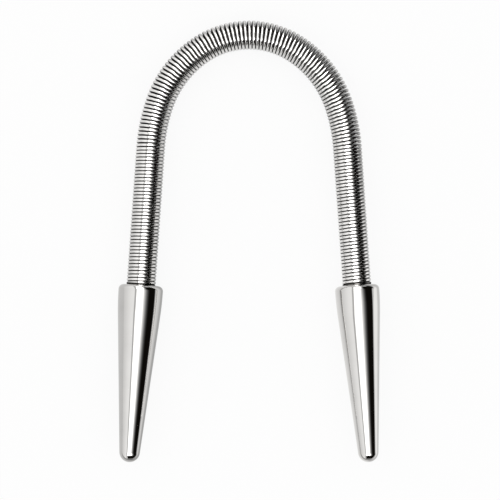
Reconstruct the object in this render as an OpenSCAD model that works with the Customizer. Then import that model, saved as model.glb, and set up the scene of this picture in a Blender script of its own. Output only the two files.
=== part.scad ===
// Facial hair removal spring: a close-wound coil of steel wire bent into an arch, with a turned
// metal handle on each end. The coil's last turns sit in a blind socket in each handle.
// Sizes are in millimetres and angles in degrees. The part lies on z = 0 as it would on a table,
// on the crown of its arch and the rims of both handles, with the crown towards +Y.

/* [Coil] */
// Diameter of the spring wire
wire_d = 0.8; // [0.75:0.05:1]
// Outside diameter of the coil
coil_d = 7; // [6:0.1:7.6]
// Gap between neighbouring turns, on the inside of the bend where they crowd together
turn_gap = 0.02; // [0.01:0.01:0.05]

/* [Arch] */
// Radius of the coil's centre line over the crown
crown_r = 20.2; // [18:0.1:23]
// Angle that the crown takes on each side of its top
crown_angle = 31; // [26:1:36]
// Radius of the centre line round each shoulder
shoulder_r = 25.3; // [23:0.1:28]
// Angle that each shoulder takes
shoulder_angle = 40; // [35:1:45]
// Radius of the last and gentlest part of the bend
flare_r = 41; // [36:0.5:46]
// Outward lean of each leg and its handle
leg_lean = 3.9; // [2:0.1:6]
// Straight length of each leg, from the bend to the rim of its handle
leg_l = 32.8; // [26:0.1:38]

/* [Handles] */
// Length of a handle
handle_l = 42.2; // [36:0.1:50]
// Thickness of the metal around the socket
handle_wall = 1.7; // [1.4:0.1:2.4]
// Radius of the rounded rim, at most the thickness of the metal there
rim_r = 1.2; // [0.8:0.1:1.8]
// Radius of the swell between the rim and the straight taper
swell_r = 75; // [50:1:110]
// Radius of the domed tip
tip_r = 2.45; // [2:0.05:3]
// Depth of the blind socket
socket_depth = 7; // [5:0.5:10]
// Clearance around the coil in its socket, and beneath the coil's end
socket_clear = 0.1; // [0.05:0.01:0.2]

/* [Hidden] */
// Flats along one turn of the wire, and around its section
turn_steps = 8;
wire_sides = 4;
// Flats along each rounded stretch of a handle's outline
arc_steps = 10;
// Overlap of the socket's drill past the rim
drill_over = 1;
STEEL = [0.66, 0.65, 0.64];
POLISHED = [0.84, 0.83, 0.81];

// The wire's centre line winds at this radius, and moves this far along the inside of the bend
// in each turn
wind_r = (coil_d - wire_d) / 2;
pitch = wire_d + turn_gap;

// Each side of the arch is three arcs and a straight leg, written as [radius, angle]
flare_angle = 90 - leg_lean - crown_angle - shoulder_angle;
ARCS = [[crown_r, crown_angle], [shoulder_r, shoulder_angle], [flare_r, flare_angle]];

// A place on the right side of the arch is [x, y, slope below the X axis], with the crown's top
// at [0, 0, 0]. This is the place that an arc of radius r leads to from place p.
function after_arc(p, r, angle) =
  let (slope = p[2] + angle)
  [p[0] + r * (sin(slope) - sin(p[2])), p[1] - r * (cos(p[2]) - cos(slope)), slope];

function arc_start(i) = i == 0 ? [0, 0, 0] : after_arc(arc_start(i - 1), ARCS[i - 1][0], ARCS[i - 1][1]);

// Length of an arc along the inside of the coil, where the turns touch
function inside_length(i) = (ARCS[i][0] - wind_r) * ARCS[i][1] * PI / 180;

// The place at length u along the inside of the coil, counted from the start of arc i
function place(u, i = 0) =
  i == len(ARCS) ? on_leg(u) :
  u > inside_length(i) ? place(u - inside_length(i), i + 1) :
  after_arc(arc_start(i), ARCS[i][0], u / (ARCS[i][0] - wind_r) * 180 / PI);

function on_leg(u) =
  let (p = arc_start(len(ARCS)))
  [p[0] + u * cos(p[2]), p[1] - u * sin(p[2]), p[2]];

// Whole turns on each side of the crown, as many as end clear of the socket's floor
coil_end = leg_l + socket_depth - socket_clear - wire_d / 2;
bend_l = inside_length(0) + inside_length(1) + inside_length(2);
side_turns = floor((bend_l + coil_end) / pitch);

// One section of the wire, t turns to the right of the crown's top. The coil is right-handed.
function wire_section(t) =
  let (side = t < 0 ? -1 : 1)
  let (p = place(abs(t) * pitch))
  let (outward = [side * sin(p[2]), cos(p[2]), 0])
  let (forward = [cos(p[2]), -side * sin(p[2]), 0])
  let (radial = outward * cos(360 * t) + [0, 0, sin(360 * t)])
  let (centre = [side * p[0], p[1], 0] + wind_r * radial)
  [for (j = [0 : wire_sides - 1])
    let (a = 360 * j / wire_sides)
    centre + wire_d / 2 * (radial * cos(a) + forward * sin(a))];

// Each handle starts at its rim, at the end of a leg
rim_at = on_leg(leg_l);
socket_r = coil_d / 2 + socket_clear;
handle_r = socket_r + handle_wall;
rim_round = min(rim_r, handle_wall);

// The straight taper is the line that touches both the swell and the dome of the tip
rim_c = [handle_r - rim_round, rim_round];
swell_c = [handle_r - swell_r, rim_round];
tip_c = [0, handle_l - tip_r];
span = swell_c - tip_c;
taper = atan2(span[1], span[0]) + acos((tip_r - swell_r) / norm(span));

// The part tips until its crown and its rims touch the table together
tilt = asin((handle_r - coil_d / 2) / (rim_round * cos(leg_lean) - rim_at[1]));
tip_y = (rim_at[1] - tip_c[1] * cos(leg_lean)) * cos(tilt) - tip_r;
middle_y = (coil_d / 2 + tip_y) / 2;

function arc(c, r, from, to) =
  [for (i = [0 : arc_steps]) let (a = from + (to - from) * i / arc_steps) c + r * [cos(a), sin(a)]];

// A solid through a row of sections that each have the same number of points
module sweep(sections) {
  n = len(sections[0]);
  last = len(sections) - 1;
  sides = [for (i = [0 : last - 1], j = [0 : n - 1])
    let (a = i * n + j)
    let (b = i * n + (j + 1) % n)
    each [[a, b, a + n], [b, b + n, a + n]]];
  ends = [[for (j = [n - 1 : -1 : 0]) j], [for (j = [0 : n - 1]) last * n + j]];
  polyhedron([for (s = sections) each s], concat(sides, ends));
}

// Outline of a handle in half section, from the rim at 0 to the tip
module handle_outline() {
  polygon(concat(
    [[0, 0]],
    arc(rim_c, rim_round, -90, 0),
    arc(swell_c, swell_r, 0, taper),
    arc(tip_c, tip_r, taper, 90)
  ));
}

module handle() {
  difference() {
    rotate_extrude($fn = 64) handle_outline();
    translate([0, 0, -drill_over]) cylinder(r = socket_r, h = socket_depth + drill_over, $fn = 64);
  }
}

module on_right_leg() {
  translate([rim_at[0], rim_at[1], 0]) rotate([90, 0, leg_lean]) children();
}

module lay_on_table() {
  translate([0, -middle_y, coil_d / 2]) rotate([-tilt, 0, 0]) children();
}

module coil_spring() {
  steps = side_turns * turn_steps;
  color(STEEL) lay_on_table() sweep([for (i = [-steps : steps]) wire_section(i / turn_steps)]);
}

module left_handle() {
  color(POLISHED) lay_on_table() mirror([1, 0, 0]) on_right_leg() handle();
}

module right_handle() {
  color(POLISHED) lay_on_table() on_right_leg() handle();
}

coil_spring();
left_handle();
right_handle();
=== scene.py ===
import math

import bpy
import numpy as np
from bpy.props import FloatProperty, FloatVectorProperty, IntProperty, PointerProperty
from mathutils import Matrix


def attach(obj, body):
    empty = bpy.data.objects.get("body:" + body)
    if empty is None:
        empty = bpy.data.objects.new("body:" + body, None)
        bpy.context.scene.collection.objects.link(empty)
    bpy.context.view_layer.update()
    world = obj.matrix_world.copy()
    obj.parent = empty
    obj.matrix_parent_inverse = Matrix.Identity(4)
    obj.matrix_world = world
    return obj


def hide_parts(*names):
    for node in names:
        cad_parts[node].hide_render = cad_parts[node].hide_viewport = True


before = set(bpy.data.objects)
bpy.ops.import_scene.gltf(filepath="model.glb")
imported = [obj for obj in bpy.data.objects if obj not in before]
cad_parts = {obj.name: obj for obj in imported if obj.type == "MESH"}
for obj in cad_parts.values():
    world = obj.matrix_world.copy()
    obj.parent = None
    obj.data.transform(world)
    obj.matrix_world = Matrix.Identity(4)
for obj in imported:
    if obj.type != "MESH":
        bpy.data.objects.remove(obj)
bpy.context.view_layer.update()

# The facial hair removal spring as it lies on a table, seen straight from above: a close-wound
# coil of bright steel wire bent into an arch, with a polished handle on each end. Everything is in
# metres, in the frame of the CAD part.

bl_info = {
    "name": "Facial hair removal spring",
    "version": (1, 0, 0),
    "blender": (4, 5, 0),
    "location": "3D View > Sidebar > Hair Spring",
    "description": "Makes the coil, the handles and the studio around them",
    "category": "Add Mesh",
}

# How finely each skin is drawn. The lip takes every fourth point of its arc.
TURN_POINTS = 44
WIRE_POINTS = 12
HANDLE_POINTS = 128
ARC_POINTS = 40
TAPER_POINTS = 30
SOCKET_POINTS = 12
LIP_STEP = 4

# A skin's own map: its name, how many strips the wire's length is cut into, and the bare margins
# at the sides and at the ends of a strip
SKIN_MAP = "OFBake"
WIRE_STRIPS = 36
MAP_SIDE = 0.04
MAP_END = 0.002

# Grain of the metals' patterns, in cells to a metre. The drawn lines' last two numbers are across
# the wire, whose radius counts as 1 there.
DRAWN_LINES = (120.0, 5.0, 5.0)
WIRE_FILM = 260.0
TURNED_RINGS = 2600.0
FINGER_FILM = 180.0
HAIRLINES = (5200.0, 420.0, 5200.0)

# Roughness of each clean metal, and what its patterns add where they are full
WIRE_ROUGHNESS = 0.06
LINES_ADD = 0.06
GROOVE_ADD = 0.08
WIRE_FILM_ADD = 0.03
HANDLE_ROUGHNESS = 0.02
FINGER_FILM_ADD = 0.04
RINGS_ADD = 0.015
HAIRLINES_ADD = 0.05

# In every pair below, a change starts at the first number and is full at the second.

# How strong a pattern is where its film or its hairlines show, how much of the metal's own colour
# comes through a film, and how much of the metal the film covers
WIRE_FILM_SHOWS = (0.3, 0.75)
WIRE_FILM_COLOUR = 0.8
WIRE_FILM_COVER = 0.5
FINGER_FILM_SHOWS = (0.35, 0.8)
FINGER_FILM_DULLS = (0.4, 0.8)
FINGER_FILM_COLOUR = 0.85
FINGER_FILM_COVER = 0.4
HAIRLINES_SHOW = (0.66, 0.8)

# The dark film on the wire, partly oil and partly painted shade, across it, where neighbouring
# turns touch at 1, and painted shade in metres from the handle's rim. Then the coil's inside,
# darkened as painted shade, from its outside at 1 to its inside at -1.
OIL_AND_SHADE_ON_SIDES = (0.60, 0.82)
SHADE_AT_RIM = (0.00055, 0.0004)
COIL_INSIDE_SHADE = (-0.05, -0.5)

# The floor as the camera sees it: how much of it is its own white in the open, and how far above
# it something still shades it, in metres, and how sharply
FLOOR_OWN_WHITE = 0.9
SHADE_HEIGHT = 0.0015
SHADE_SHARPNESS = 5.0

# The floor as reflections see it, with light and shade painted on it by place, in metres: how far
# out from the bend's middle its painted band of light reaches, how its painted level changes from
# left to right and from front to back, and the painted shadows beside the handles. Each place has a
# level, or a share of the level there. The painted shadows lie aside of their middle.
BEND_MIDDLE = (0.0, 0.026, 0.0)
BEND_LIGHT = (0.046, 0.035)
BEND_TO_RIGHT = (-0.04, 0.045)
BEND_LEVEL = (0.98, 0.64)
BACK_TO_RIGHT = (-0.04, 0.04)
BACK_LEVEL = (0.98, 0.06)
FRONT_TO_RIGHT = (-0.03, 0.06)
FRONT_LEVEL = (0.78, 1.25)
FRONT_EDGE = (-0.05, -0.1)
FRONT_EDGE_SHARE = (1.0, 0.4)
FRONT_TO_BACK = (-0.012, 0.036)
SHADES_MIDDLE = 0.009
SHADES_ASIDE = 0.027
SHADES_WIDTH = (0.01, 0.003)
SHADES_SHARE = (1.0, 0.67)

# The studio in reflections, as leans of a level mirror to the right or to the back. The softbox is
# full near its left edge and nothing at its reach, which is less towards the back. Each wall has a
# level, or a share of the level of the wall on the left.
BOX_LEFT = (-0.165, -0.14)
BOX_REACH = 0.445
BOX_LESS_REACH = 1.8
BOX_FADE_GAIN = 2.1
BOX_FADE_POWER = 2.9
BOX_WINGS = (0.1, 0.25)
BOX_FRONT = (-0.37, -0.33)
LEFT_WALL = (-0.85, -0.3)
LEFT_WALL_LEVEL = (0.84, 1.22)
LEFT_SLIDE = (0.0, -0.12)
LEFT_SLIDE_BY = 0.05
SEAM_MIDDLE = -0.215
SEAM_WIDTH = (0.045, 0.02)
SEAM_SHARE = (1.0, 0.5)
RIGHT_WALL = (0.64, 0.70)
RIGHT_WALL_SHARE = 0.8
BACK_WALL = (0.5, 0.6)
BACK_WALL_LEFT = (0.28, 0.02)
BACK_WALL_SHARE = 0.5
LOW_LIGHT = (0.59, 0.64)
LOW_LIGHT_LEFT = (0.12, 0.25)
LOW_LIGHT_LEVEL = 1.6
FRONT_WALL = (-0.6, -0.68)
FRONT_WALL_LEVEL = 0.25

# The least that a squared length counts as, so that nothing is divided by zero straight below
LEAST_SQUARED = 0.01

WHITE = (1.0, 1.0, 1.0, 1.0)

# How far the camera sees, in metres
CAMERA_REACH = 20.0


class CoilSizes(bpy.types.PropertyGroup):
    """Sizes of the wire and of the arch that its coil is bent into."""

    wire_d: FloatProperty(
        name="Wire",
        description="Diameter of the spring wire",
        default=0.0008,
        unit="LENGTH",
    )
    coil_d: FloatProperty(
        name="Coil",
        description="Outside diameter of the coil",
        default=0.007,
        unit="LENGTH",
    )
    turn_gap: FloatProperty(
        name="Turn gap",
        description="Gap between turns on the inside of the bend",
        default=0.00002,
        unit="LENGTH",
    )
    side_turns: IntProperty(
        name="Turns",
        description="Turns on each side of the crown",
        default=90,
    )
    crown_r: FloatProperty(
        name="Crown radius",
        description="Bend over the crown",
        default=0.0202,
        unit="LENGTH",
    )
    crown_angle: FloatProperty(
        name="Crown angle",
        description="Angle that the crown takes on each side of its top",
        default=math.radians(31),
        subtype="ANGLE",
    )
    shoulder_r: FloatProperty(
        name="Shoulder radius",
        description="Bend round each shoulder",
        default=0.0253,
        unit="LENGTH",
    )
    shoulder_angle: FloatProperty(
        name="Shoulder angle",
        description="Angle that each shoulder takes",
        default=math.radians(40),
        subtype="ANGLE",
    )
    flare_r: FloatProperty(
        name="Flare radius",
        description="Last part of the bend",
        default=0.041,
        unit="LENGTH",
    )
    leg_lean: FloatProperty(
        name="Leg lean",
        description="Outward lean of each leg and its handle",
        default=math.radians(3.9),
        subtype="ANGLE",
    )
    leg_l: FloatProperty(
        name="Leg",
        description="Straight length of each leg",
        default=0.0328,
        unit="LENGTH",
    )


class HandleSizes(bpy.types.PropertyGroup):
    """Sizes of a turned handle."""

    handle_l: FloatProperty(
        name="Length",
        description="Length of a handle",
        default=0.0422,
        unit="LENGTH",
    )
    handle_wall: FloatProperty(
        name="Wall",
        description="Thickness of the metal around the socket",
        default=0.0017,
        unit="LENGTH",
    )
    rim_r: FloatProperty(
        name="Rim",
        description="Radius of the rounded rim",
        default=0.0012,
        unit="LENGTH",
    )
    lip_r: FloatProperty(
        name="Lip",
        description="Radius of the broken edge at the socket's mouth",
        default=0.00015,
        unit="LENGTH",
    )
    swell_r: FloatProperty(
        name="Swell",
        description="Radius of the swell between the rim and the taper",
        default=0.075,
        unit="LENGTH",
    )
    tip_r: FloatProperty(
        name="Tip",
        description="Radius of the domed tip",
        default=0.00245,
        unit="LENGTH",
    )
    socket_depth: FloatProperty(
        name="Socket depth",
        description="Depth of the blind socket",
        default=0.007,
        unit="LENGTH",
    )
    socket_clear: FloatProperty(
        name="Socket clearance",
        description="Clearance around the coil in its socket",
        default=0.0001,
        unit="LENGTH",
    )


class Finishes(bpy.types.PropertyGroup):
    """Colours of the metals, and of the painted shade on the wire."""

    steel: FloatVectorProperty(
        name="Steel",
        description="Colour of the bright wire",
        default=(0.80, 0.79, 0.775),
        subtype="COLOR",
    )
    # Partly an oil film and partly painted shade: the wire's dark colour between turns and near
    # each rim
    oil_and_shade: FloatVectorProperty(
        name="Groove film",
        description="Colour of the wire where turns meet",
        default=(0.12, 0.115, 0.11),
        subtype="COLOR",
    )
    # Painted shade: the wire is darkened on the inside of the coil, where shade falls
    inner: FloatVectorProperty(
        name="Inner wire",
        description="Colour of the wire on the inside of the coil",
        default=(0.03, 0.028, 0.025),
        subtype="COLOR",
    )
    polished: FloatVectorProperty(
        name="Polished metal",
        description="Colour of the handles",
        default=(0.64, 0.63, 0.615),
        subtype="COLOR",
    )


class StudioSettings(bpy.types.PropertyGroup):
    """The camera and the light."""

    distance: FloatProperty(
        name="Camera distance",
        description="From the middle of the part to the camera",
        default=1.5,
        unit="LENGTH",
    )
    view_width: FloatProperty(
        name="View",
        description="Width that the camera sees",
        default=0.119,
        unit="LENGTH",
    )
    aim_x: FloatProperty(
        name="Aim X",
        description="Point under the camera, to the right",
        default=0.00026,
        unit="LENGTH",
    )
    aim_y: FloatProperty(
        name="Aim Y",
        description="Point under the camera, to the back",
        default=-0.00214,
        unit="LENGTH",
    )
    floor_size: FloatProperty(
        name="Floor",
        description="Width of the floor",
        default=4.0,
        unit="LENGTH",
    )
    softbox: FloatProperty(
        name="Softbox",
        description="Level of the softbox's middle in reflections",
        default=2.4,
    )
    wings: FloatProperty(
        name="Wings",
        description="Level that the softbox's front and back add to that",
        default=3.6,
    )
    card: FloatVectorProperty(
        name="Dark card",
        description="Colour of the dark card in reflections",
        default=(0.006, 0.005, 0.004),
        subtype="COLOR",
    )


class HairSpring(bpy.types.PropertyGroup):
    """All the settings of the part."""

    coil: PointerProperty(type=CoilSizes)
    handle: PointerProperty(type=HandleSizes)
    finish: PointerProperty(type=Finishes)
    studio: PointerProperty(type=StudioSettings)


class Link:
    """One output of a node. Arithmetic on it adds Math nodes."""

    def __init__(self, nodes, socket):
        self.nodes = nodes
        self.socket = socket

    def other(self, name):
        """Another output of the same node."""
        return Link(self.nodes, self.socket.node.outputs[name])

    def math(self, operation, *values):
        """A Math node on some values."""
        return self.nodes.add("ShaderNodeMath", {"operation": operation}, dict(enumerate(values)))

    def __add__(self, value):
        return self.math("ADD", self, value)

    def __radd__(self, value):
        return self.math("ADD", value, self)

    def __sub__(self, value):
        return self.math("SUBTRACT", self, value)

    def __rsub__(self, value):
        return self.math("SUBTRACT", value, self)

    def __mul__(self, value):
        return self.math("MULTIPLY", self, value)

    def __rmul__(self, value):
        return self.math("MULTIPLY", value, self)

    def __truediv__(self, value):
        return self.math("DIVIDE", self, value)

    def __pow__(self, value):
        return self.math("POWER", self, value)

    def __abs__(self):
        return self.math("ABSOLUTE", self)

    def at_least(self, value):
        """The larger of this and the value."""
        return self.math("MAXIMUM", self, value)

    def at_most(self, value):
        """The smaller of this and the value."""
        return self.math("MINIMUM", self, value)

    def rise(self, low, high):
        """0 at low, 1 at high, and smooth between them."""
        ends = {"Value": self, "From Min": low, "From Max": high}
        return self.nodes.add("ShaderNodeMapRange", {"interpolation_type": "SMOOTHSTEP"}, ends)


class Nodes:
    """The node tree of a material or world."""

    def __init__(self, owner):
        owner.use_nodes = True
        self.tree = owner.node_tree
        self.tree.nodes.clear()

    def add(self, kind, settings=None, sockets=None, out=0):
        """Adds a node, makes its settings, then gives its sockets values or links. Returns one of
        its outputs."""
        node = self.tree.nodes.new(kind)
        for name, value in (settings or {}).items():
            setattr(node, name, value)
        for key, value in (sockets or {}).items():
            if isinstance(value, Link):
                self.tree.links.new(value.socket, node.inputs[key])
            else:
                node.inputs[key].default_value = value
        return Link(self, node.outputs[out]) if len(node.outputs) else None

    def mix(self, factor, a, b):
        """Colour a where factor is 0, and b where it is 1. The node's colours are its inputs 6 and
        7 and its output 2."""
        settings = {"data_type": "RGBA", "clamp_factor": False}
        return self.add("ShaderNodeMix", settings, {0: factor, 6: a, 7: b}, out=2)

    def noise(self, vector, scale, detail):
        """A smooth random field from 0 to 1."""
        sockets = {"Vector": vector, "Scale": scale, "Detail": detail}
        return self.add("ShaderNodeTexNoise", None, sockets)

    def stretched(self, vector, scale):
        """A vector with each part scaled by its own number."""
        return self.add("ShaderNodeVectorMath", {"operation": "MULTIPLY"}, {0: vector, 1: scale})


def between(start, end, share):
    """The start where share is 0, and the end where it is 1."""
    return start + (end - start) * share


def opaque(colour):
    """A colour as a node socket holds it."""
    return (*colour, 1.0)


def arch(sizes, length):
    """Places on the right side of the arch, at lengths along the inside of the coil. Each arc turns
    the slope by the length spent on it over its inner radius, and moves by its own radius times the
    change of the slope's sine and cosine. The straight leg takes the rest of the length. Returns x,
    y and slope at each length, and the length of the whole bend."""
    wind_r = (sizes.coil_d - sizes.wire_d) / 2
    flare_angle = math.pi / 2 - sizes.leg_lean - sizes.crown_angle - sizes.shoulder_angle
    arcs = (
        (sizes.crown_r, sizes.crown_angle),
        (sizes.shoulder_r, sizes.shoulder_angle),
        (sizes.flare_r, flare_angle),
    )
    x = y = slope = np.zeros_like(length)
    start = 0.0
    lean = 0.0
    for radius, angle in arcs:
        turned = np.clip((length - start) / (radius - wind_r), 0, angle)
        x = x + radius * (np.sin(lean + turned) - math.sin(lean))
        y = y - radius * (math.cos(lean) - np.cos(lean + turned))
        slope = slope + turned
        start += (radius - wind_r) * angle
        lean += angle
    straight = np.maximum(length - start, 0)
    return x + straight * math.cos(lean), y - straight * math.sin(lean), slope, start


def rim_place(sizes):
    """The end of the right leg, where the rim of its handle is."""
    bend = arch(sizes, np.zeros(1))[3]
    x, y = arch(sizes, np.array([bend + sizes.leg_l]))[:2]
    return float(x[0]), float(y[0])


def handle_radius(part):
    """Radius of a handle at its rim: the coil's, the socket's clearance and the wall."""
    return part.coil.coil_d / 2 + part.handle.socket_clear + part.handle.handle_wall


def lay_on_table(points, part):
    """Tips the flat arch about X until its crown and the rims touch the table together, lifts it by
    the coil's radius, and brings the middle of its length to Y = 0."""
    coil, handle = part.coil, part.handle
    coil_r = coil.coil_d / 2
    rim_y = rim_place(coil)[1]
    rim_round = min(handle.rim_r, handle.handle_wall)
    tilt = math.asin((handle_radius(part) - coil_r) / (rim_round * math.cos(coil.leg_lean) - rim_y))
    dome_y = rim_y - (handle.handle_l - handle.tip_r) * math.cos(coil.leg_lean)
    tip_y = dome_y * math.cos(tilt) - handle.tip_r
    middle = (coil_r + tip_y) / 2
    x, y, z = np.moveaxis(points, -1, 0)
    laid = (
        x,
        y * math.cos(tilt) + z * math.sin(tilt) - middle,
        z * math.cos(tilt) - y * math.sin(tilt) + coil_r,
    )
    return np.stack(laid, axis=-1)


def closed_skin(name, rings, ends, along, strips, fields):
    """A closed skin over rings of points. A face spans two neighbours on a ring and the same two on
    the next, and a fan to an end point closes each end. Along is the place of the first end, each
    ring and the last end on the skin's map, from 0 to 1, and the map is cut into strips laid side
    by side. Fields are further values at the rings' points."""
    rows, around = rings.shape[:2]
    points = np.concatenate([rings.reshape(-1, 3), np.asarray(ends)])
    first_end = np.full((1, around), rows * around)
    grid = np.arange(rows * around).reshape(rows, around)
    grid = np.concatenate([first_end, grid, first_end + 1])
    beside = np.roll(grid, -1, axis=1)
    corners = np.stack([grid[:-1], beside[:-1], beside[1:], grid[1:]], axis=-1)

    just_below_1 = 1 - 1e-9
    strip = np.minimum(along[:-1] + np.diff(along) / 2, just_below_1) * strips // 1
    low = along[:-1] * strips - strip
    high = along[1:] * strips - strip
    across = np.arange(around)
    u = np.stack([low, low, high, high], axis=-1)[:, None, :] + np.zeros((1, around, 1))
    u = between(MAP_END, 1 - MAP_END, np.clip(u, 0, 1))
    v = np.stack([across, across + 1, across + 1, across], axis=-1)[None] / around
    v = (strip[:, None, None] + between(MAP_SIDE, 1 - MAP_SIDE, v)) / strips
    places = np.stack([u, v], axis=-1)

    # The corners that a face keeps in the first fan, in the bands between rings and in the last fan
    pick = ([0, 2, 3], [0, 1, 2, 3], [0, 1, 2])
    bands = (slice(0, 1), slice(1, -1), slice(-1, None))
    loops = [corners[band][..., keep].reshape(-1) for band, keep in zip(bands, pick)]
    spots = [places[band][:, :, keep].reshape(-1, 2) for band, keep in zip(bands, pick)]
    sides = [np.full(len(loop) // len(keep), len(keep)) for loop, keep in zip(loops, pick)]
    counts = np.concatenate(sides)
    starts = np.concatenate([[0], np.cumsum(counts)[:-1]])

    mesh = bpy.data.meshes.new(name)
    mesh.vertices.add(len(points))
    mesh.vertices.foreach_set("co", points.astype(np.float32).ravel())
    mesh.loops.add(int(counts.sum()))
    mesh.loops.foreach_set("vertex_index", np.concatenate(loops).astype(np.int32))
    mesh.polygons.add(len(counts))
    mesh.polygons.foreach_set("loop_start", starts.astype(np.int32))
    mesh.update(calc_edges=True)
    mesh.polygons.foreach_set("use_smooth", np.ones(len(counts), bool))
    layer = mesh.uv_layers.new(name=SKIN_MAP)
    layer.uv.foreach_set("vector", np.concatenate(spots).astype(np.float32).ravel())
    for field, values in fields.items():
        values = values.reshape(rows, around, -1)
        on_rings = values.reshape(rows * around, -1)
        values = np.concatenate([on_rings, values[:1].mean(1), values[-1:].mean(1)])
        kind, key = ("FLOAT", "value") if values.shape[1] == 1 else ("FLOAT_VECTOR", "vector")
        made = mesh.attributes.new(field, kind, "POINT")
        made.data.foreach_set(key, values.astype(np.float32).ravel())
    if mesh.validate():
        raise RuntimeError(f"{name} has faces that aren't sound")
    piece = bpy.data.objects.new(name, mesh)
    bpy.context.scene.collection.objects.link(piece)
    return piece


def coil_rings(part):
    """The wire's skin. At t turns from the crown, the wire's centre is the arch's place for t times
    the pitch, plus the winding radius along the direction that turns by 360 t from outward to up.
    The ring there has the wire's radius, in the plane of that direction and the arch's own. Its
    fields are each point's place on the wire, and its distance from the handle's rim."""
    coil = part.coil
    wire_r = coil.wire_d / 2
    wind_r = (coil.coil_d - coil.wire_d) / 2
    turns = coil.side_turns
    t = np.linspace(-turns, turns, 2 * turns * TURN_POINTS + 1)
    a = np.arange(WIRE_POINTS) * 2 * math.pi / WIRE_POINTS
    cos_a, sin_a = np.cos(a), np.sin(a)
    along = np.abs(t) * (coil.wire_d + coil.turn_gap)
    x, y, slope, bend = arch(coil, along)
    side = np.where(t < 0, -1.0, 1.0)
    none = np.zeros_like(t)
    outward = np.stack([side * np.sin(slope), np.cos(slope), none], axis=-1)
    forward = np.stack([np.cos(slope), -side * np.sin(slope), none], axis=-1)
    phase = 2 * math.pi * t[:, None]
    radial = outward * np.cos(phase) + np.array([0.0, 0.0, 1.0]) * np.sin(phase)
    centre = np.stack([side * x, y, none], axis=-1) + wind_r * radial
    section = radial[:, None] * cos_a[:, None] - forward[:, None] * sin_a[:, None]
    rings = centre[:, None] + wire_r * section
    wire_l = 2 * math.pi * wind_r * (t - t[0])
    wire = np.stack(np.broadcast_arrays(wire_l[:, None], cos_a, sin_a), axis=-1)
    to_rim = (bend + coil.leg_l - along)[:, None] + wire_r * side[:, None] * sin_a
    return rings, centre[[0, -1]], {"wire": wire, "to_rim": to_rim}


def arc_points(centre, radius, start, stop):
    """Points of an arc in the half section, as radius from the axis and distance from the rim."""
    angle = np.linspace(start, stop, ARC_POINTS)
    from_axis = centre[0] + radius * np.cos(angle)
    from_rim = centre[1] + radius * np.sin(angle)
    return np.stack([from_axis, from_rim], axis=-1)


def handle_profile(part):
    """The half section of a handle: the socket's wall, its broken edge, the rounded rim, the swell,
    the straight taper that touches both the swell and the dome, and the dome."""
    handle = part.handle
    outer = handle_radius(part)
    socket_r = outer - handle.handle_wall
    rim_round = min(handle.rim_r, handle.handle_wall - handle.lip_r)
    lip_centre = (socket_r + handle.lip_r, handle.lip_r)
    rim_centre = (outer - rim_round, rim_round)
    swell_centre = (outer - handle.swell_r, rim_round)
    tip_centre = (0.0, handle.handle_l - handle.tip_r)
    span = np.subtract(swell_centre, tip_centre)
    turn = math.acos((handle.tip_r - handle.swell_r) / np.hypot(*span))
    taper = math.atan2(span[1], span[0]) + turn
    deep, mouth = [socket_r, handle.socket_depth], [socket_r, handle.lip_r]
    wall = np.linspace(deep, mouth, SOCKET_POINTS)[:-1]
    lip = arc_points(lip_centre, handle.lip_r, math.pi, 1.5 * math.pi)[::LIP_STEP]
    rim = arc_points(rim_centre, rim_round, -math.pi / 2, 0)[:-1]
    swelling = arc_points(swell_centre, handle.swell_r, 0, taper)
    dome = arc_points(tip_centre, handle.tip_r, taper, math.pi / 2)[:-1]
    straight = np.linspace(swelling[-1], dome[0], TAPER_POINTS)[1:-1]
    return np.concatenate([wall, lip, rim, swelling, straight, dome])


def handle_rings(part, side):
    """A handle's skin: its half section turned about its axis, which carries on the leg's line.
    Side is 1 for the right handle and -1 for the left, whose rings run the other way round. Its
    field is each point's distance from the rim."""
    profile = handle_profile(part)
    a = side * np.arange(HANDLE_POINTS) * 2 * math.pi / HANDLE_POINTS
    ends = np.array([[0.0, part.handle.socket_depth], [0.0, part.handle.handle_l]])
    lean = part.coil.leg_lean
    rim_x, rim_y = rim_place(part.coil)
    across = np.array([math.cos(lean), math.sin(lean), 0.0])
    down = np.array([math.sin(lean), -math.cos(lean), 0.0])
    up = np.array([0.0, 0.0, 1.0])
    round_axis = across * np.cos(a)[:, None] + up * np.sin(a)[:, None]
    start = np.array([rim_x, rim_y, 0.0])
    rings = start + profile[:, None, 1:] * down + profile[:, None, :1] * round_axis
    poles = start + ends[:, 1:] * down
    mirror = np.array([side, 1.0, 1.0])
    path = np.concatenate([ends[:1], profile, ends[1:]])
    reach = np.concatenate([[0.0], np.cumsum(np.hypot(*np.diff(path, axis=0).T))])
    fields = {"from_rim": np.broadcast_to(profile[:, 1:], rings.shape[:2])}
    return rings * mirror, poles * mirror, reach / reach[-1], fields


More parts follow.
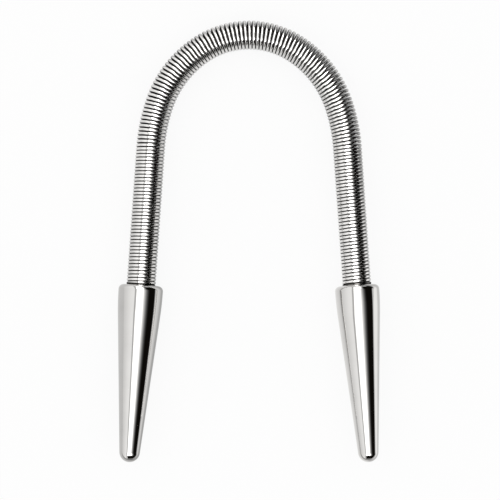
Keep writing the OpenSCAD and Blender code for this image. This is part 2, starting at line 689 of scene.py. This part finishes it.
def bright_wire(finish):
    """Drawn spring wire: clean metal with fine lines along it and a patchy film, and a dark, dull
    film where a turn touches the next one, partly old oil and partly painted shade, painted shade
    where it goes into a handle, and painted shade on the inside of the coil."""
    material = bpy.data.materials.new("bright_wire")
    nodes = Nodes(material)
    wire = nodes.add("ShaderNodeAttribute", {"attribute_name": "wire"}, out="Vector")
    lines = nodes.noise(nodes.stretched(wire, DRAWN_LINES), 1.0, 3.0)
    place = nodes.add("ShaderNodeTexCoord", out="Object")
    film = nodes.noise(place, WIRE_FILM, 2.0)
    outward = nodes.add("ShaderNodeSeparateXYZ", None, {0: wire}, out="Y")
    flank = abs(outward.other("Z"))
    # Painted shade on the inside of the coil
    inside = outward.rise(*COIL_INSIDE_SHADE)
    # Painted shade where turns touch and near each rim; between the turns it is partly an oil film
    # too
    to_rim = nodes.add("ShaderNodeAttribute", {"attribute_name": "to_rim"}, out="Fac")
    oil_and_shade = flank.rise(*OIL_AND_SHADE_ON_SIDES).at_least(to_rim.rise(*SHADE_AT_RIM))
    dimmed = tuple(WIRE_FILM_COLOUR * part for part in finish.steel)
    cover = film.rise(*WIRE_FILM_SHOWS) * WIRE_FILM_COVER
    filmed = nodes.mix(cover, opaque(finish.steel), opaque(dimmed))
    colour = nodes.mix(inside, filmed, opaque(finish.inner))
    roughness = WIRE_ROUGHNESS + lines * LINES_ADD + oil_and_shade * GROOVE_ADD + film * WIRE_FILM_ADD
    height = {"Strength": 0.06, "Distance": 0.00004, "Height": lines}
    bump = nodes.add("ShaderNodeBump", None, height)
    clean = nodes.add(
        "ShaderNodeBsdfPrincipled",
        None,
        {"Base Color": colour, "Metallic": 1.0, "Roughness": roughness, "Normal": bump},
    )
    # The dark metal under that mask: partly oil, partly painted shade
    oiled_and_shaded = nodes.add(
        "ShaderNodeBsdfPrincipled",
        None,
        {
            "Base Color": opaque(finish.oil_and_shade),
            "Metallic": 1.0,
            "Roughness": 0.18,
            "Specular Tint": opaque((0.15, 0.15, 0.15)),
            "Normal": bump,
        },
    )
    shader = nodes.add("ShaderNodeMixShader", None, {0: oil_and_shade, 1: clean, 2: oiled_and_shaded})
    nodes.add("ShaderNodeOutputMaterial", None, {"Surface": shader})
    return material


def polished_metal(finish):
    """Turned and polished metal: faint rings round the axis, a thin finger film, and fine
    hairlines."""
    material = bpy.data.materials.new("turned_polish")
    nodes = Nodes(material)
    from_rim = nodes.add("ShaderNodeAttribute", {"attribute_name": "from_rim"}, out="Fac")
    place = nodes.add("ShaderNodeTexCoord", out="Object")
    ring_place = nodes.add("ShaderNodeCombineXYZ", None, {0: from_rim * TURNED_RINGS})
    rings = nodes.noise(ring_place, 1.0, 3.0)
    film = nodes.noise(place, FINGER_FILM, 4.0)
    hairs = nodes.noise(nodes.stretched(place, HAIRLINES), 1.0, 2.0).rise(*HAIRLINES_SHOW)
    dimmed = tuple(FINGER_FILM_COLOUR * part for part in finish.polished)
    cover = film.rise(*FINGER_FILM_SHOWS) * FINGER_FILM_COVER
    colour = nodes.mix(cover, opaque(finish.polished), opaque(dimmed))
    filmed = HANDLE_ROUGHNESS + film.rise(*FINGER_FILM_DULLS) * FINGER_FILM_ADD
    roughness = filmed + rings * RINGS_ADD + hairs * HAIRLINES_ADD
    height = {"Strength": 0.02, "Distance": 0.00002, "Height": rings}
    bump = nodes.add("ShaderNodeBump", None, height)
    shader = nodes.add(
        "ShaderNodeBsdfPrincipled",
        None,
        {"Base Color": colour, "Metallic": 1.0, "Roughness": roughness, "Normal": bump},
    )
    nodes.add("ShaderNodeOutputMaterial", None, {"Surface": shader})
    return material


def pale_floor():
    """A white sheet, seen mostly at its own white and darker where something stands just above it.
    Reflections see it with light and shade painted by place: behind, it darkens to the right, but
    less in a painted band of light close round the bend; in front, it brightens to the right,
    darkens towards the front edge, and has a painted shadow on the right of each handle."""
    material = bpy.data.materials.new("pale_floor")
    nodes = Nodes(material)
    seen = nodes.add("ShaderNodeLightPath", out="Is Camera Ray")
    mirrored = seen.other("Is Glossy Ray") + seen.other("Is Transmission Ray")
    place = nodes.add("ShaderNodeTexCoord", out="Object")
    x = nodes.add("ShaderNodeSeparateXYZ", None, {0: place})
    y = x.other("Y")
    ends = {0: place, 1: BEND_MIDDLE}
    from_bend = nodes.add("ShaderNodeVectorMath", {"operation": "DISTANCE"}, ends, out="Value")
    # Painted light and shade in the floor's own light, which only reflections see
    far = between(*BACK_LEVEL, x.rise(*BACK_TO_RIGHT))
    round_bend = between(*BEND_LEVEL, x.rise(*BEND_TO_RIGHT))
    back = between(far, round_bend, from_bend.rise(*BEND_LIGHT))
    edge = between(*FRONT_EDGE_SHARE, y.rise(*FRONT_EDGE))
    front = between(*FRONT_LEVEL, x.rise(*FRONT_TO_RIGHT)) * edge
    beside_handles = abs(abs(x - SHADES_MIDDLE) - SHADES_ASIDE)
    shade = between(*SHADES_SHARE, beside_handles.rise(*SHADES_WIDTH))
    level = between(front, back, y.rise(*FRONT_TO_BACK)) * shade
    own = nodes.add("ShaderNodeEmission", None, {"Color": seen + mirrored * level, "Strength": 1.0})
    lit = nodes.add("ShaderNodeBsdfDiffuse", None, {"Color": (0.87, 0.87, 0.87, 1.0)})
    reach = {"Distance": SHADE_HEIGHT}
    open_above = nodes.add("ShaderNodeAmbientOcclusion", {"samples": 8}, reach, out="AO")
    share = seen * (FLOOR_OWN_WHITE * open_above ** SHADE_SHARPNESS) + mirrored
    surface = nodes.add("ShaderNodeMixShader", None, {0: share, 1: lit, 2: own})
    nodes.add("ShaderNodeOutputMaterial", None, {"Surface": surface})
    return material


def studio_world(studio):
    """Plain white light, and for reflections the studio around the table. A direction is read as
    the lean of a level mirror that would turn it straight up: lean_x to the right and lean_y to the
    back. A long softbox stands over the part, brightest at its back and front, and fades out to its
    right, where a dark card hangs that folds round its front. The rest is wall: pale on the left,
    with one dim seam, grey on the far right and behind, white low at the back, and dim low at the
    front."""
    world = bpy.data.worlds.new("studio")
    bpy.context.scene.world = world
    nodes = Nodes(world)
    direction = nodes.add("ShaderNodeTexCoord", out="Generated")
    x = nodes.add("ShaderNodeSeparateXYZ", None, {0: direction})
    # The mirror faces along the sum of the direction and straight up
    squared = (2.0 * (1.0 + x.other("Z"))).at_least(LEAST_SQUARED)
    sum_l = squared ** 0.5
    lean_x = x / sum_l
    lean_y = x.other("Y") / sum_l

    # The softbox
    reach = lean_x.at_least(0.0) * (1.0 + BOX_LESS_REACH * lean_y.at_least(0.0)) / BOX_REACH
    fade = (BOX_FADE_GAIN * (1.0 - reach).at_least(0.0) ** BOX_FADE_POWER).at_most(1.0)
    level = studio.softbox + studio.wings * abs(lean_y).rise(*BOX_WINGS)
    box = level * fade * lean_y.rise(*BOX_FRONT)

    # The walls and the light past it, to the right, behind and in front
    wall = between(*LEFT_WALL_LEVEL, lean_x.rise(*LEFT_WALL))
    behind = lean_y.rise(*BACK_WALL) * lean_x.rise(*BACK_WALL_LEFT)
    low_behind = lean_y.rise(*LOW_LIGHT) * lean_x.rise(*LOW_LIGHT_LEFT)
    right = between(box, RIGHT_WALL_SHARE * wall, lean_x.rise(*RIGHT_WALL))
    right = between(right, BACK_WALL_SHARE * wall, behind)
    right = between(right, LOW_LIGHT_LEVEL, low_behind)
    right = between(right, FRONT_WALL_LEVEL, lean_y.rise(*FRONT_WALL))

    # The wall on the left, whose edge and seam slide to the left towards the front
    slid_x = lean_x + LEFT_SLIDE_BY * lean_y.rise(*LEFT_SLIDE)
    seam = abs(slid_x - SEAM_MIDDLE).rise(*SEAM_WIDTH)
    left = wall * between(*SEAM_SHARE, seam)

    shown = between(left, right, slid_x.rise(*BOX_LEFT))
    pattern = nodes.mix(shown, opaque(studio.card), WHITE)
    mirrored = nodes.add("ShaderNodeLightPath", out="Is Glossy Ray")
    light = nodes.mix(mirrored, WHITE, pattern)
    surface = nodes.add("ShaderNodeBackground", None, {"Color": light, "Strength": 1.0})
    nodes.add("ShaderNodeOutputWorld", None, {"Surface": surface})
    world.cycles.sampling_method = "NONE"
    return world


def dress(piece, material, node):
    """Gives a piece its material, and its place in the frame."""
    piece.data.materials.append(material)
    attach(piece, "root")
    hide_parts(node)


class HAIRSPRING_OT_make_coil(bpy.types.Operator):
    """Make the coil of round wire."""

    bl_idname = "hair_spring.make_coil"
    bl_label = "Coil"

    def execute(self, context):
        part = context.scene.hair_spring
        rings, ends, fields = coil_rings(part)
        along = np.linspace(0, 1, len(rings) + 2)
        piece = closed_skin(
            "coil_wire",
            lay_on_table(rings, part),
            lay_on_table(ends, part),
            along,
            WIRE_STRIPS,
            fields,
        )
        dress(piece, bright_wire(part.finish), "coil_spring")
        return {"FINISHED"}


class HAIRSPRING_OT_make_handles(bpy.types.Operator):
    """Make both turned handles."""

    bl_idname = "hair_spring.make_handles"
    bl_label = "Handles"

    def execute(self, context):
        part = context.scene.hair_spring
        metal = polished_metal(part.finish)
        for hand, side in (("left", -1), ("right", 1)):
            rings, ends, along, fields = handle_rings(part, side)
            piece = closed_skin(
                f"handle_{hand}",
                lay_on_table(rings, part),
                lay_on_table(ends, part),
                along,
                1,
                fields,
            )
            dress(piece, metal, f"{hand}_handle")
        return {"FINISHED"}


class HAIRSPRING_OT_make_stage(bpy.types.Operator):
    """Make the floor, the light and the camera."""

    bl_idname = "hair_spring.make_stage"
    bl_label = "Studio"

    def execute(self, context):
        part = context.scene.hair_spring
        studio = part.studio
        half = studio.floor_size / 2
        mesh = bpy.data.meshes.new("floor")
        corners = ((-half, -half, 0.0), (half, -half, 0.0), (half, half, 0.0), (-half, half, 0.0))
        mesh.from_pydata(corners, [], [(0, 1, 2, 3)])
        mesh.materials.append(pale_floor())
        floor = bpy.data.objects.new("floor", mesh)
        context.scene.collection.objects.link(floor)
        studio_world(studio)

        lens = bpy.data.cameras.new("camera")
        lens.lens = lens.sensor_width * studio.distance / studio.view_width
        lens.clip_end = CAMERA_REACH
        camera = bpy.data.objects.new("camera", lens)
        camera.location = (studio.aim_x, studio.aim_y, handle_radius(part) + studio.distance)
        context.scene.collection.objects.link(camera)
        context.scene.camera = camera
        context.scene.view_settings.view_transform = "Standard"
        return {"FINISHED"}


class HAIRSPRING_PT_panel(bpy.types.Panel):
    """The part's makers and their settings, in the sidebar of the 3D view."""

    bl_idname = "HAIRSPRING_PT_panel"
    bl_label = "Hair Spring"
    bl_space_type = "VIEW_3D"
    bl_region_type = "UI"
    bl_category = "Hair Spring"

    def draw(self, context):
        part = context.scene.hair_spring
        for maker, group in zip(MAKERS, ("coil", "handle", "studio")):
            self.layout.operator(maker.bl_idname)
            for name in getattr(part, group).__annotations__:
                self.layout.prop(getattr(part, group), name)
        for name in part.finish.__annotations__:
            self.layout.prop(part.finish, name)


MAKERS = (HAIRSPRING_OT_make_coil, HAIRSPRING_OT_make_handles, HAIRSPRING_OT_make_stage)
GROUPS = (CoilSizes, HandleSizes, Finishes, StudioSettings, HairSpring)
CLASSES = (*GROUPS, *MAKERS, HAIRSPRING_PT_panel)


def register():
    """Adds the settings, the makers and the panel."""
    for kind in CLASSES:
        bpy.utils.register_class(kind)
    bpy.types.Scene.hair_spring = PointerProperty(type=HairSpring)


def unregister():
    """Takes them away again."""
    del bpy.types.Scene.hair_spring
    for kind in reversed(CLASSES):
        bpy.utils.unregister_class(kind)


def main():
    """Makes everything in order."""
    register()
    bpy.ops.hair_spring.make_coil()
    bpy.ops.hair_spring.make_handles()
    bpy.ops.hair_spring.make_stage()


if __name__ == "__main__":
    main()
